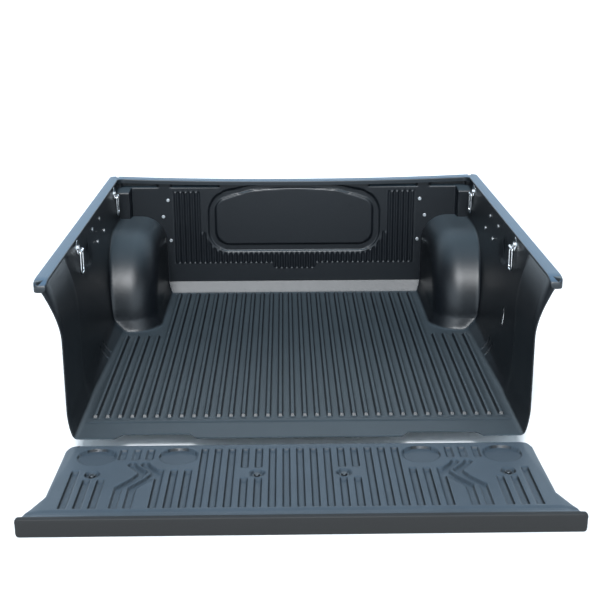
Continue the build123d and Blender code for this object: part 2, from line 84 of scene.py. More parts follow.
def rounded(a, b, r):
    """The meeting of two fields with its corner rolled to radius r: r minus the length of (r - a, r - b)."""
    near = r - np.hypot(np.maximum(r - a, 0), np.maximum(r - b, 0))
    return np.where((a > r) & (b > r), np.minimum(a, b), near)


def ease(t):
    """0 below 0, 1 above 1 and the cubic 3t^2 - 2t^3 in between."""
    t = np.clip(t, 0.0, 1.0)
    return t * t * (3 - 2 * t)


def step(d, width):
    """Rises from 0 to 1 as d crosses zero, over this width."""
    return ease(d / width + 0.5)


def wall_x(z):
    """Side wall's distance from the middle: 38 mm of lean over its height."""
    return 0.697 + (z - kick_top) * wall_lean / (rail_under - kick_top)


def throat_x(z):
    """The same at the rear opening: upright at 690 mm, then curving out 45 mm to meet the rail."""
    curve_low = 0.304
    up = np.clip((z - curve_low) / (rail_under - curve_low), 0, 1)
    return 0.690 + 0.045 * up**2.2


def side_x(y, z):
    """The side wall: from the narrow rear opening out to full width between 275 and 355 mm forward."""
    out = ease((y - 0.275) / 0.08)
    return throat_x(z) * (1 - out) + wall_x(z) * out


def wall_mark(y, z):
    """A shallow oval pressed 6 mm out of each side wall, slanting down forwards."""
    middle_y, middle_z, half_long, half_tall = 0.668, 0.392, 0.105, 0.040
    turn_cos, turn_sin = 0.95, 0.31
    along, down = y - middle_y, z - middle_z
    along, down = along * turn_cos - down * turn_sin, along * turn_sin + down * turn_cos
    return 0.006 * ease((1 - np.hypot(along / half_long, down / half_tall)) / 0.30)


arch_side, arch_rear, arch_top = 0.535, 0.985, floor_top + 0.330
arch_curve, shoulder_radius, foot_lean = 0.285, 0.105, 0.015
shoulder = arch_side + shoulder_radius


def arch_field(x, y, z):
    """Wheel arch: a body with a 285 mm rear curve and a rolled 105 mm inner shoulder, on a sloped
    foot band."""
    profile = rounded(y - arch_rear, arch_top - z, arch_curve)
    body = rounded(profile, x - arch_side, shoulder_radius)
    inset = foot_lean * (z - kick_top) / kick_height
    foot = rounded(x - arch_side - inset, y - arch_rear - inset, shoulder_radius)
    return np.where(z < kick_top, foot, body)


slot_middles, slot_half = (0.663, 0.723), 0.007


def air_field(x, y, z):
    """Open space of the bed: above the floor, inside the kicks and walls, outside the arch, and in
    the two board slots of each kick."""
    foot_x = 0.675 - 0.025 * np.clip((y - 0.350) / 0.620, 0, 1)
    head_x = side_x(y, kick_top)
    run = head_x - foot_x
    kick = ((foot_x - x) * kick_height + (z - floor_top) * run) / np.hypot(kick_height, run)
    space = rounded(z - floor_top, kick, 0.010)
    space = rounded(space, side_x(y, z) + wall_mark(y, z) - x, 0.012)
    space = rounded(space, -arch_field(x, y, z), 0.009)
    for slot_y in slot_middles:
        across = np.minimum(slot_half - np.abs(y - slot_y), 0.705 - x)
        upright = np.minimum(z - floor_top - 0.012, kick_top + 0.002 - z)
        space = np.maximum(space, np.minimum(across, upright))
    return space


# Meshes


def surface(name, points, body, material, replaces=(), faces=None, thick=0.0):
    """A grid of points (rows, columns, 3) as one smooth mesh, moved to the shared frame. Its wall grows
    behind the face, and each point's facing_up is the upward part of its normal."""
    rows, cols = points.shape[:2]
    index = np.arange(rows * cols).reshape(rows, cols)
    a, b, c, d = index[:-1, :-1], index[:-1, 1:], index[1:, 1:], index[1:, :-1]
    quads = np.stack([a, b, c, d], axis=-1)
    if faces is not None:
        quads = quads[faces]
    quads = quads.reshape(-1, 4)
    flat = points.reshape(-1, 3) - np.array([0, half_length, 0])
    used, corners = np.unique(quads, return_inverse=True)
    mesh = bpy.data.meshes.new(name)
    mesh.from_pydata(flat[used].tolist(), [], corners.reshape(-1, 4).tolist())
    mesh.validate()
    mesh.polygons.foreach_set("use_smooth", np.ones(len(mesh.polygons), bool))
    loop_edges = np.zeros(len(mesh.loops), np.int32)
    mesh.loops.foreach_get("edge_index", loop_edges)
    open_edge = np.bincount(loop_edges, minlength=len(mesh.edges)) == 1
    mesh.edges.foreach_set("use_edge_sharp", open_edge)
    mesh.update()
    normals = np.zeros(len(mesh.vertices) * 3, np.float32)
    mesh.vertices.foreach_get("normal", normals)
    facing_up = mesh.attributes.new("facing_up", "FLOAT", "POINT")
    facing_up.data.foreach_set("value", np.maximum(normals[2::3], 0))
    piece = bpy.data.objects.new(name, mesh)
    bpy.context.scene.collection.objects.link(piece)
    if thick:
        wall = piece.modifiers.new("wall", "SOLIDIFY")
        wall.thickness = thick
        wall.offset = -1.0
    piece.data.materials.append(material)
    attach(piece, body)
    if replaces:
        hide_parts(*replaces)
    return piece


def spaced(*stops):
    """Positions along a line, given as start, step, end, step, end: even steps from each stop to the next."""
    out = [np.array([stops[0]])]
    for start, gap, end in zip(stops[0::2], stops[1::2], stops[2::2]):
        count = max(1, int(round((end - start) / gap)))
        out.append(np.linspace(start, end, count + 1)[1:])
    return np.concatenate(out)


# Ribs and rear edge of the floor

rib_pitch, rib_height, rib_base, rib_crest = 0.0386, 0.012, 0.0100, 0.0050
rib_start, rib_ramp, rear_ramp = 0.147, 0.016, 0.0095
rib_end, rib_end_at_arch = bed_length - 0.044, 0.924


def rib_rise(x, y):
    """Height of the ribs: a trapezium across, ramped at both ends, with its edges eased. The ribs in line
    with an arch stop short of it."""
    nearest = (np.floor(np.abs(x) / rib_pitch) + 0.5) * rib_pitch
    nearest = np.minimum(nearest, 16.5 * rib_pitch)
    off = np.abs(np.abs(x) - nearest)
    end = np.where(nearest + rib_base > arch_side - foot_lean, rib_end_at_arch, rib_end)
    across = (rib_base - off) / (rib_base - rib_crest)
    rear = (y - rib_start) / rear_ramp
    t = np.clip(np.minimum(np.minimum(across, rear), (end - y) / rib_ramp), 0, 1)
    return rib_height * (0.7 * t + 0.3 * ease(t))


def bead_rise(x, y):
    """The low cross bead 114 to 128 mm in from the rear edge, 3.6 mm high."""
    height, half_width, middle, half_long = 0.0036, 0.007, 0.121, 0.663
    return height * step(half_width - np.abs(y - middle), 0.0030) * step(half_long - np.abs(x), 0.004)


def notch_edge(x):
    """Rear edge of the floor: 30 mm further in between 331 and 533 mm from the middle, with slanted ends."""
    depth, slope = 0.030, 0.022
    inner = (np.abs(x) - 0.309) / slope
    outer = (0.555 - np.abs(x)) / slope
    return depth * np.clip(np.minimum(inner, outer), 0, 1)


pole_x, pole_z = 0.95, -0.35
flange_edge = 0.7620
drain_y, drain_low, drain_length = 0.565, 0.145, 0.086


def header_dip(x):
    """How far the header lies below the rails: 14 mm in the middle, nothing at its ends."""
    return 0.014 * (1 - np.clip(np.abs(x) / 0.727, 0, 1) ** 2.2)


def tub_half(side):
    """Floor, kick, arch, wall and flange of one side: on each cross-section, rays from a pole below the
    outer corner are followed inwards until they reach open space, by halving, so the surface is a
    function of ray angle and y. Ribs and bead are added to the floor, the rear edge is notched and the
    wall flared out there, and the right wall has a teardrop opening."""
    offsets = np.array([-0.0180, -0.0104, -0.0094, -0.0058, -0.0046, 0.0, 0.0046, 0.0058, 0.0094, 0.0104])
    floor_x = (np.arange(17)[:, None] + 0.5) * rib_pitch + offsets[None, :]
    floor_x = np.concatenate([[0.0], floor_x.ravel()[1:], [0.662, 0.668]])
    floor_angle = np.arctan2(floor_top - pole_z, pole_x - floor_x)
    top_angle = np.arctan2(rail_under - pole_z, pole_x - wall_head)
    high = np.linspace(floor_angle[-1], top_angle, 68)[1:]
    angle = np.concatenate([floor_angle, high])
    arc = arch_rear + arch_curve * (1 - np.cos(np.linspace(0, pi / 2, 26)))
    y = np.concatenate([
        [0, 0.0015, 0.004, 0.009, 0.016, 0.023, 0.030, 0.037, 0.045, 0.060, 0.080, 0.100],
        [0.1112, 0.1128, 0.1152, 0.1168, 0.1252, 0.1268, 0.1292, 0.1308, 0.144],
        [0.1466, 0.1474, 0.1500, 0.1530, 0.1560, 0.1570, 0.168],
        spaced(0.185, 0.03, 0.275, 0.01, 0.355, 0.03, 0.530, 0.0042, 0.600, 0.02, 0.640),
        [0.654, 0.6558, 0.6572, 0.663, 0.6688, 0.6702, 0.672, 0.693, 0.714, 0.7158, 0.7172],
        [0.723, 0.7288, 0.7302, 0.732],
        spaced(0.76, 0.03, 0.90, 0.004, 0.930, 0.01, 0.96, 0.0036, arch_rear - 0.001),
        arc,
        spaced(1.30, 0.03, 1.44, 0.004, bed_length),
    ])
    theta, yy = np.meshgrid(angle, y)
    near, distant = np.full_like(theta, 0.05), np.minimum(1.2 / np.cos(theta), 1.25)
    for _ in range(26):
        middle = (near + distant) / 2
        open_space = air_field(pole_x - middle * np.cos(theta), yy, pole_z + middle * np.sin(theta)) > 0
        distant = np.where(open_space, middle, distant)
        near = np.where(open_space, near, middle)
    x = pole_x - near * np.cos(theta)
    z = pole_z + near * np.sin(theta)
    level = (z < floor_top + 0.001) & (x < 0.66)
    z = z + np.where(level, rib_rise(x, yy) + bead_rise(x, yy), 0.0)
    front_kick = 0.032
    foot_rise = floor_top + kick_height * np.clip((yy - bed_length + front_kick) / front_kick, 0, 1)
    z = np.maximum(z, foot_rise)
    edge, sill = notch_edge(x) * (z < floor_top + 0.02), 0.10
    yy = np.where(yy < sill, edge + (sill - edge) * yy / sill, yy)
    flare_length = 0.045
    turn = np.clip((flare_length - yy) / flare_length, 0, 1)
    x = x + 0.028 * ease((z - 0.31) / 0.19) * (1 - np.sqrt(1 - np.minimum(turn, 0.98) ** 2))
    inside_hole = np.zeros_like(x, bool)
    if side > 0:
        up = (z - floor_top - drain_low) / drain_length
        width = 0.0135 * np.sqrt(np.clip(up, 0, 1)) * (1 - np.clip(up, 0, 1)) ** 0.75 * 1.9
        inside_hole = (np.abs(yy - drain_y) < width) & (up > 0) & (up < 1)
        shifted = drain_y + np.where(yy < drain_y, -width, width)
        yy = np.where(inside_hole, shifted, yy)
    flange = [np.minimum(x[:, -1] + out, flange_edge) for out in (0.0015, 0.004)]
    x = np.column_stack([x, *flange, np.full(len(y), flange_edge)])
    z = np.column_stack([z, np.repeat(z[:, -1:], 3, axis=1)])
    yy = np.column_stack([yy, np.repeat(yy[:, -1:], 3, axis=1)])
    inside_hole = np.column_stack([inside_hole, np.zeros((len(y), 3), bool)])
    points = np.stack([side * x, yy, z], axis=-1)
    keep = ~(inside_hole[:-1, :-1] & inside_hole[:-1, 1:] & inside_hole[1:, 1:] & inside_hole[1:, :-1])
    if side < 0:
        points = points[:, ::-1]
        keep = keep[:, ::-1]
    return points, keep


# Front wall


def oval_field(x, z):
    """The front wall's oval: a box with corners of 85 mm whose top edge is an arc of 0.86 m radius."""
    middle, tall, wide, corner, crown_radius = 0.3355, 0.1545, 0.358, 0.085, 0.86
    dx = np.abs(x) - (wide - corner)
    dz = np.abs(z - middle) - (tall - corner)
    box = corner - np.hypot(np.maximum(dx, 0), np.maximum(dz, 0)) - np.minimum(np.maximum(dx, dz), 0)
    crown = crown_radius - np.hypot(x, z - (0.490 - crown_radius))
    return rounded(box, crown, 0.06)


def flute_share(x, z, oval):
    """Where the front wall is fluted: round the oval and in a band below it, with a deeper middle; 0 to 1."""
    ax = np.abs(x)
    low = 0.128 - 0.024 * step(0.088 - ax, 0.018)
    field = np.minimum(np.minimum(0.506 - ax, z - low), 0.438 - z)
    field = np.minimum(field, -oval - 0.008)
    flank = np.maximum(ax - 0.388, 0.262 - z)
    return ease(np.minimum(field, flank) / 0.0055)


ledges, ledge_z, ledge_step = ((0.314, 0.511), (0.568, 0.715)), 0.458, 0.013
moat_width, moat_depth = 0.030, 0.009
flute_pitch, flute_depth = 0.0215, 0.0036


def front_relief(x, z):
    """How far the front wall is pressed forward: the oval's moat, the flutes as a cosine across and the
    ledges under the header, less the corner bosses, which stand back into the bed."""
    d = oval_field(x, z)
    forward = moat_depth * (step(d, 0.006) - step(d - moat_width, 0.007))
    wave = np.cos(2 * pi * x / flute_pitch)
    forward = forward - flute_depth * wave * flute_share(x, z, d)
    for low, high in ledges:
        across = np.minimum(np.abs(x) - low, high - np.abs(x))
        forward = forward + ledge_step * step(np.minimum(across, z - ledge_z), 0.011)
    slope = np.clip((z - 0.443) / 0.015, 0, 1)
    boss = 0.045 * (1 - slope) * step(np.abs(x) - 0.676, 0.005)
    return forward - boss


def front_wall():
    """The front wall over the floor kick and the arches: columns across, rows from its foot to the flange.
    Its foot lies 3 mm inside the arch's sheet, and faces below it are left out. Returns points and the
    faces to keep."""
    turn = np.linspace(0, pi / 2, 22)
    inside_sheet, inner_columns, outer_columns = shoulder_radius - 0.003, 166, 29
    right = np.concatenate([
        np.linspace(0, arch_side + 0.0025, inner_columns),
        shoulder - inside_sheet * np.cos(turn),
        np.linspace(shoulder, wall_head, outer_columns + 1)[1:],
    ])
    foot = np.concatenate([
        np.full(inner_columns, kick_top),
        arch_top - shoulder_radius + inside_sheet * np.sin(turn),
        np.full(outer_columns, arch_top - 0.003),
    ])
    across = np.concatenate([-right[:0:-1], right])
    foot = np.concatenate([foot[:0:-1], foot])
    edges = np.array([0.104, 0.128, 0.184, 0.213, 0.434, 0.458])
    even = np.arange(0.054, rail_under - 0.002, 0.0052)
    even = even[np.abs(even[:, None] - edges[None, :]).min(axis=1) > 0.0062]
    beside = np.array([-0.0048, -0.0030, -0.0012, 0.0006, 0.0024, 0.0048])
    close = (edges[:, None] + beside[None, :]).ravel()
    levels = np.sort(np.concatenate([[kick_top], even, close, [rail_under]]))
    x, level = np.meshgrid(across, levels)
    dip_from = 0.462
    level = level - header_dip(x) * np.clip((level - dip_from) / (rail_under - dip_from), 0, 1)
    z = np.maximum(foot[None, :], level)
    share = (np.abs(x) - shoulder) / (wall_head - shoulder)
    x = np.where(np.abs(x) > shoulder, np.sign(x) * (shoulder + share * (wall_x(z) - shoulder)), x)
    buried = z <= foot[None, :] + 1e-7
    y = bed_length + front_relief(x, z)
    y = np.vstack([y, np.maximum(y[-1:], bed_length) + 0.004, np.full((1, len(across)), bed_length + 0.035)])
    x = np.vstack([x, x[-1:], x[-1:]])
    z = np.vstack([z, z[-1:], z[-1:]])
    buried = np.vstack([buried, np.zeros((2, len(across)), bool)])
    keep = ~(buried[1:, :-1] & buried[1:, 1:])
    return np.stack([x, y, z], axis=-1), keep


# Tailgate liner

gate_z = -0.004
gate_pitch = 0.0398
groove_half, groove_draft, groove_depth = 0.0112, 0.0030, 0.0095
groove_near, groove_far = 0.060, 0.430
near_ramp, far_ramp = 0.012, 0.003


def straight_groove(off, near_end, far_end):
    """Depth share of a groove, 1 on its floor: drafted sides, a long ramp at the hinge end and a short
    one at the other."""
    side = ease((groove_half - off) / groove_draft)
    return side * ease(near_end / near_ramp) * ease(far_end / far_ramp)


def gate_grooves(ax, y):
    """Depth share of the straight grooves, one every 39.8 mm and broken round the recesses, and of the two
    bent channels on each side; y runs back from the hinge."""
    near, far = groove_near, groove_far
    share = np.zeros_like(ax)
    for k in range(17):
        spans = [(near, far)]
        if k in (3, 4):
            spans = [(near, 0.191), (0.255, far)]
        if k in (8, 9, 10, 16):
            spans = [(0.201, far)]
        if k in (11, 12, 13):
            spans = [(near, near + 0.073)]
        if k in (14, 15):
            spans = [(0.255, far)]
        for start, end in spans:
            share = np.maximum(share, straight_groove(np.abs(ax - k * gate_pitch), y - start, end - y))
    path = [(0.502, 0.430), (0.502, 0.312), (0.458, 0.250), (0.446, 0.216), (0.482, 0.170)]
    for shift in (0.0, -0.0378):
        for (xa, ya), (xb, yb) in zip(path[:-1], path[1:]):
            t = np.clip((y - ya) / (yb - ya), 0, 1)
            away = np.hypot(ax - xa - shift - (xb - xa) * t, 0.8 * (y - ya - (yb - ya) * t))
            slant = np.hypot(xb - xa, yb - ya) / abs(yb - ya)
            side = ease((groove_half - away / slant) / groove_draft)
            share = np.maximum(share, side * ease((far - y) / far_ramp))
    return share


def gate_relief(x, y):
    """Depth of every pressing below the tailgate liner's face: grooves, round recesses with floors that
    slant up away from the hinge, bolt recesses with a low collar, the slope down to the outline and the
    lip by the cap."""
    ax, back = np.abs(x), -y
    depth = groove_depth * gate_grooves(ax, back)
    round_back, round_radius, bolt_back, bolt_radius, deep = 0.112, 0.056, 0.229, 0.022, 0.010
    for across in (0.354, 0.592):
        d = round_radius - np.hypot(ax - across, back - round_back)
        tilt = np.clip(0.72 - 0.62 * (back - round_back) / round_radius, 0.10, 1.0)
        depth = np.where(d > 0, deep * tilt * ease(d / 0.0016), depth)
    for across in (0.123, 0.587):
        d = bolt_radius - np.hypot(ax - across, back - bolt_back)
        depth = np.where(d > -0.010, depth * ease(-d / 0.010), depth)
        depth = np.maximum(depth, deep * ease(d / 0.0040))
        collar = 0.0012 * ease((d + 0.004) / 0.003) * ease(-(d - 0.003) / 0.003)
        depth = np.where(d > -0.004, depth - collar, depth)
    border = np.maximum(ax - (0.664 + 0.030 * ease((back - 0.05) / 0.38)), 0.0)
    lip = 0.0025 * ease((back - 0.441) / 0.004) - 0.0045 * ease((back - 0.466) / 0.003)
    return depth + np.minimum(0.22 * border, 0.006) + lip * (ax < 0.80)


def gate_half_width(back):
    """Half width of the tailgate liner at a distance behind the hinge: 692 mm, slanting out to ears of
    748 mm, with the hinge corners rounded."""
    ear = np.clip((back - 0.358) / 0.116, 0, 1)
    corner = np.clip((0.059 - back) / 0.024, 0, 1)
    return 0.692 + 0.056 * ear - 0.024 * (1 - np.sqrt(1 - corner**2))


def tailgate_sheet():
    """The tailgate liner's face: columns follow the grooves, the outer ones follow the outline."""
    offsets = np.array([-0.0199, -0.0155, -0.0115, -0.0105, -0.0094, -0.005,
                        0.0, 0.005, 0.0094, 0.0105, 0.0115, 0.0155])
    cols = (np.arange(-16, 17)[:, None] * gate_pitch + offsets[None, :]).ravel()
    bend = np.arange(0.425, 0.530, 0.0029)
    cols = cols[(np.abs(cols) < 0.424) | (np.abs(cols) > 0.531)]
    cols = np.sort(np.concatenate([cols[np.abs(cols) <= 0.657], bend, -bend]))
    back = np.concatenate([
        [0.035, 0.036, 0.038, 0.042, 0.048, 0.053, 0.0565, 0.0578, 0.059, 0.0605, 0.0625, 0.065],
        spaced(0.068, 0.0052, 0.425), [0.4275, 0.429, 0.4305, 0.434, 0.440, 0.446, 0.452, 0.456, 0.459],
        [0.464, 0.470, 0.476, 0.482, 0.486, 0.490],
    ])
    half = gate_half_width(back)
    outer = np.linspace(0, 1, 9)[1:]
    right = cols.max() + outer[None, :] * (half[:, None] - cols.max())
    x = np.concatenate([-right[:, ::-1], np.tile(cols, (len(back), 1)), right], axis=1)
    y = -np.tile(back[:, None], (1, x.shape[1]))
    rim = np.minimum(half[:, None] - np.abs(x), -y - back[0])
    rolled = 1 - np.clip(1 - rim / 0.004, 0, 1) ** 2
    z = gate_z - gate_relief(x, y) - 0.003 * (1 - np.sqrt(np.clip(rolled, 0, 1)))
    return np.stack([x, y, z], axis=-1)[:, ::-1]


# Caps


def rail_cap(side):
    """A rail cap: from a spine along its middle out to its outline, over a rolled edge and down a skirt.
    The rear end droops along a quarter circle. The skirt is 8 mm deep inside, 27 mm outside and 35 mm
    at the rear."""
    inner, outer, rear, front = 0.727, 0.767, -0.0035, bed_length + 0.040
    roll = np.linspace(0, pi / 2, 9)
    side_y = spaced(0.02, 0.004, 0.06, 0.03, 0.12, 0.1, front - 0.018)
    near_corner = np.stack([inner + 0.005 * (1 - np.cos(roll)), rear + 0.012 * (1 - np.sin(roll))], axis=1)
    far_corner = np.stack([outer - 0.016 * (1 - np.sin(roll)), rear + 0.020 * (1 - np.cos(roll))], axis=1)
    front_corner = np.stack([outer - 0.016 * (1 - np.cos(roll)), front - 0.016 * (1 - np.sin(roll))], axis=1)
    path = np.concatenate([
        np.stack([np.full(len(side_y), inner), side_y[::-1]], axis=1),
        near_corner, [[0.741, rear]], far_corner,
        np.stack([np.full(len(side_y), outer), side_y], axis=1),
        front_corner, [[0.740, front]],
    ])
    spine = np.stack([np.full(len(path), 0.747), np.clip(path[:, 1], 0.016, front - 0.004)], axis=1)
    drop = np.interp(path[:, 0], [0.727, 0.729, 0.738, 0.767], [0.008, 0.012, 0.035, 0.035])
    outside = np.interp(path[:, 1], [0.0, 0.035], [0.035, 0.027])
    drop = np.where((path[:, 1] > 0.0) & (path[:, 0] > 0.745), outside, drop)
    drop = np.where((path[:, 1] > 0.010) & (path[:, 0] < 0.745), 0.008, drop)
    turn = np.linspace(0, pi / 2, 6)
    share = np.concatenate([[0.0, 0.35, 0.62], 0.75 + 0.25 * np.sin(turn), [1.0, 1.0, 1.0]])
    fall = np.concatenate([
        [0.0, 0.0002, 0.0006], 0.0008 + 0.0048 * (1 - np.cos(turn)), [0.0060, 0.0060, 0.0060],
    ])
    skirt = np.concatenate([np.zeros(3 + len(turn)), [0.2, 0.6, 1.0]])
    plan = spine[:, None, :] + (path - spine)[:, None, :] * share[None, :, None]
    droop = np.clip((0.050 - plan[..., 1]) / 0.0535, 0, 1)
    top = cap_top - fall[None, :] - 0.022 * (1 - np.sqrt(1 - 0.995 * droop**2))
    foot = np.minimum(cap_top - drop[:, None], top - 0.003)
    z = top + (foot - top) * skirt[None, :]
    points = np.stack([side * plan[..., 0], plan[..., 1], z], axis=-1)
    return points[:, ::-1] if side < 0 else points


def header_cap():
    """The header cap: one rolled section with a lip each side, carried across and dipped in the middle; its
    inner edge sweeps back in a 30 mm curve at each rail."""
    x = np.concatenate([spaced(-0.727, 0.003, -0.680, 0.02, 0.0), spaced(0.0, 0.02, 0.680, 0.003, 0.727)[1:]])
    turn = np.linspace(0, pi / 2, 6)
    depth, edge = 0.052, 0.005
    y = np.concatenate([
        [0.0, 0.0], edge * (1 - np.cos(turn)), [0.018, 0.034],
        depth - edge * (1 - np.sin(turn)), [depth, depth],
    ])
    z = np.concatenate([
        [-0.018, -0.009], -edge * (1 - np.sin(turn)), [0.0, 0.0],
        -edge * (1 - np.cos(turn)), [-0.014, -0.027],
    ])
    near_rail = np.clip((np.abs(x) - 0.697) / 0.030, 0, 1)
    sweep = 0.030 * (1 - np.sqrt(1 - 0.998 * near_rail**2))
    inside = np.interp(y, [0.0, 0.018], [1.0, 0.0])
    yy = bed_length - 0.012 + y[None, :] - sweep[:, None] * inside[None, :]
    zz = cap_top + z[None, :] - header_dip(x)[:, None]
    xx = np.broadcast_to(x[:, None], yy.shape)
    return np.stack([xx, yy, zz], axis=-1)[:, ::-1]


def tailgate_cap():
    """The cap over the tailgate's upper edge: a lip on the liner, a rolled edge, a face 46 mm high and
    a return, drawn in at both ends."""
    end_x = np.array([0.741, 0.745, 0.7472, 0.748])
    x = np.concatenate([-end_x[::-1], spaced(-0.735, 0.06, 0.735), end_x])
    near_end = np.clip((np.abs(x) - 0.738) / 0.010, 0, 1)
    shrink = 0.010 * (1 - np.sqrt(1 - 0.995 * near_end**2))
    turn = np.linspace(0, pi / 2, 7)
    back, over, low = 0.4955, 0.0035, -0.0495
    y = np.concatenate([[-0.478, -0.4785, -0.484], -(back - 0.004 + 0.004 * np.sin(turn)), [-back, -back],
                        -(back - 0.005 + 0.005 * np.cos(turn)), [-0.470, -0.466]])
    z = np.concatenate([[0.0005, 0.0030, over], over - 0.004 * (1 - np.cos(turn)), [-0.015, -0.034],
                        low + 0.004 - 0.005 * np.sin(turn) + 0.001, [low, low]])
    zz = gate_z + z[None, :] * np.ones((len(x), 1))
    middle, half_tall = gate_z - 0.023, 0.026
    zz = middle + (zz - middle) * (1 - shrink[:, None] / half_tall)
    yy = y[None, :] + np.minimum(shrink[:, None], 0.010) * np.clip((-y[None, :] - 0.478) / 0.0175, 0, 1)
    xx = np.broadcast_to(x[:, None], yy.shape)
    return np.stack([xx, yy, zz], axis=-1)


# Materials


def shared_group(name, sockets_in, sockets_out):
    """A shader node group with named inputs, each with its first value, and outputs."""
    group = bpy.data.node_groups.new(name, "ShaderNodeTree")
    for label, kind, value in sockets_in:
        group.interface.new_socket(label, in_out="INPUT", socket_type=kind).default_value = value
    for label, kind in sockets_out:
        group.interface.new_socket(label, in_out="OUTPUT", socket_type=kind)
    return group


def add(tree, kind, sockets=(), **settings):
    """A new node with its settings, and then the values of its named input sockets."""
    node = tree.nodes.new(kind)
    for key, value in settings.items():
        setattr(node, key, value)
    for socket, value in dict(sockets).items():
        node.inputs[socket].default_value = value
    return node


def moulded_grain():
    """The grain of formed sheet: a fine pebbled height, long thin scuff marks, and a slow mottle that varies
    the painted sheen on flat faces.
    """
    group = shared_group(
        "moulded_grain",
        [("Grain", "NodeSocketFloat", 900.0), ("Scuff", "NodeSocketFloat", 1.0)],
        [("Height", "NodeSocketFloat"), ("Marks", "NodeSocketFloat"), ("Mottle", "NodeSocketFloat")],
    )
    link = group.links.new
    start, end = add(group, "NodeGroupInput"), add(group, "NodeGroupOutput")
    place = add(group, "ShaderNodeTexCoord")
    grain = add(group, "ShaderNodeTexNoise", {"Detail": 2.0})
    link(place.outputs["Object"], grain.inputs["Vector"])
    link(start.outputs["Grain"], grain.inputs["Scale"])
    link(grain.outputs["Fac"], end.inputs["Height"])
    stretch = add(group, "ShaderNodeMapping", {"Scale": (9.0, 1.2, 9.0), "Rotation": (0.0, 0.0, 0.35)})
    link(place.outputs["Object"], stretch.inputs["Vector"])
    marks = add(group, "ShaderNodeTexNoise", {"Scale": 14.0, "Detail": 6.0, "Roughness": 0.7})
    link(stretch.outputs["Vector"], marks.inputs["Vector"])
    thin = add(group, "ShaderNodeMapRange", {"From Min": 0.60, "From Max": 0.78})
    link(marks.outputs["Fac"], thin.inputs["Value"])
    amount = add(group, "ShaderNodeMath", operation="MULTIPLY")
    link(thin.outputs["Result"], amount.inputs[0])
    link(start.outputs["Scuff"], amount.inputs[1])
    link(amount.outputs[0], end.inputs["Marks"])
    mottle = add(group, "ShaderNodeTexNoise", {"Scale": 7.0, "Detail": 3.0})
    link(place.outputs["Object"], mottle.inputs["Vector"])
    link(mottle.outputs["Fac"], end.inputs["Mottle"])
    return group


grain_group = moulded_grain()


def plastic(name, colour, sheen_and_scuff_colour, roughness, grain, bump, scuff):
    """Moulded plastic in lit and shaded copies of one charcoal: near black on its steep faces, painted dark
    as shade, and a paler bluish painted sheen of sky and overhead light on the faces that lie flat, varied by
    a mottle; with grain bump and duller, paler scuffs."""
    material = bpy.data.materials.new(name)
    material.use_nodes = True
    tree = material.node_tree
    link = tree.links.new
    shader = tree.nodes["Principled BSDF"]
    shader.inputs["Specular IOR Level"].default_value = 0.36
    effect = add(tree, "ShaderNodeGroup", {"Grain": grain, "Scuff": scuff}, node_tree=grain_group)
    # Painted light: steep faces take the shaded colour and flat faces take the painted sheen colour; scuffs
    # also pull towards the paler one
    tint = add(tree, "ShaderNodeMix", {"A": (*colour, 1), "B": (*sheen_and_scuff_colour, 1)}, data_type="RGBA")
    lying = add(tree, "ShaderNodeAttribute", attribute_name="facing_up")
    flat = add(tree, "ShaderNodeMapRange", {"From Min": 0.45, "From Max": 0.97},
               interpolation_type="SMOOTHSTEP")
    link(lying.outputs["Fac"], flat.inputs["Value"])
    vary = add(tree, "ShaderNodeMapRange", {"To Min": 0.72, "To Max": 1.12})
    link(effect.outputs["Mottle"], vary.inputs["Value"])
    # Painted sheen: its strength on flat faces, varied by the mottle
    painted_sheen = add(tree, "ShaderNodeMath", operation="MULTIPLY")
    link(flat.outputs["Result"], painted_sheen.inputs[0])
    link(vary.outputs["Result"], painted_sheen.inputs[1])
    both = add(tree, "ShaderNodeMath", {1: 0.35}, operation="MULTIPLY_ADD", use_clamp=True)
    link(effect.outputs["Marks"], both.inputs[0])
    link(painted_sheen.outputs[0], both.inputs[2])
    link(both.outputs[0], tint.inputs["Factor"])
    link(tint.outputs["Result"], shader.inputs["Base Color"])
    dull = add(tree, "ShaderNodeMapRange", {"To Min": roughness, "To Max": min(1.0, roughness + 0.16)})
    link(both.outputs[0], dull.inputs["Value"])
    link(dull.outputs["Result"], shader.inputs["Roughness"])
    relief = add(tree, "ShaderNodeBump", {"Strength": bump, "Distance": 0.0006})
    link(effect.outputs["Height"], relief.inputs["Height"])
    link(relief.outputs["Normal"], shader.inputs["Normal"])
    return material


def metal(name, colour, roughness, spread):
    """Plated steel: roughness varied by a fine noise."""
    material = bpy.data.materials.new(name)
    material.use_nodes = True
    tree = material.node_tree
    link = tree.links.new
    shader = tree.nodes["Principled BSDF"]
    shader.inputs["Base Color"].default_value = (*colour, 1)
    shader.inputs["Metallic"].default_value = 1.0
    place = add(tree, "ShaderNodeTexCoord")
    noise = add(tree, "ShaderNodeTexNoise", {"Scale": 60.0, "Detail": 4.0})
    link(place.outputs["Object"], noise.inputs["Vector"])
    vary = add(tree, "ShaderNodeMapRange", {"To Min": roughness, "To Max": roughness + spread})
    link(noise.outputs["Fac"], vary.inputs["Value"])
    link(vary.outputs["Result"], shader.inputs["Roughness"])
    return material


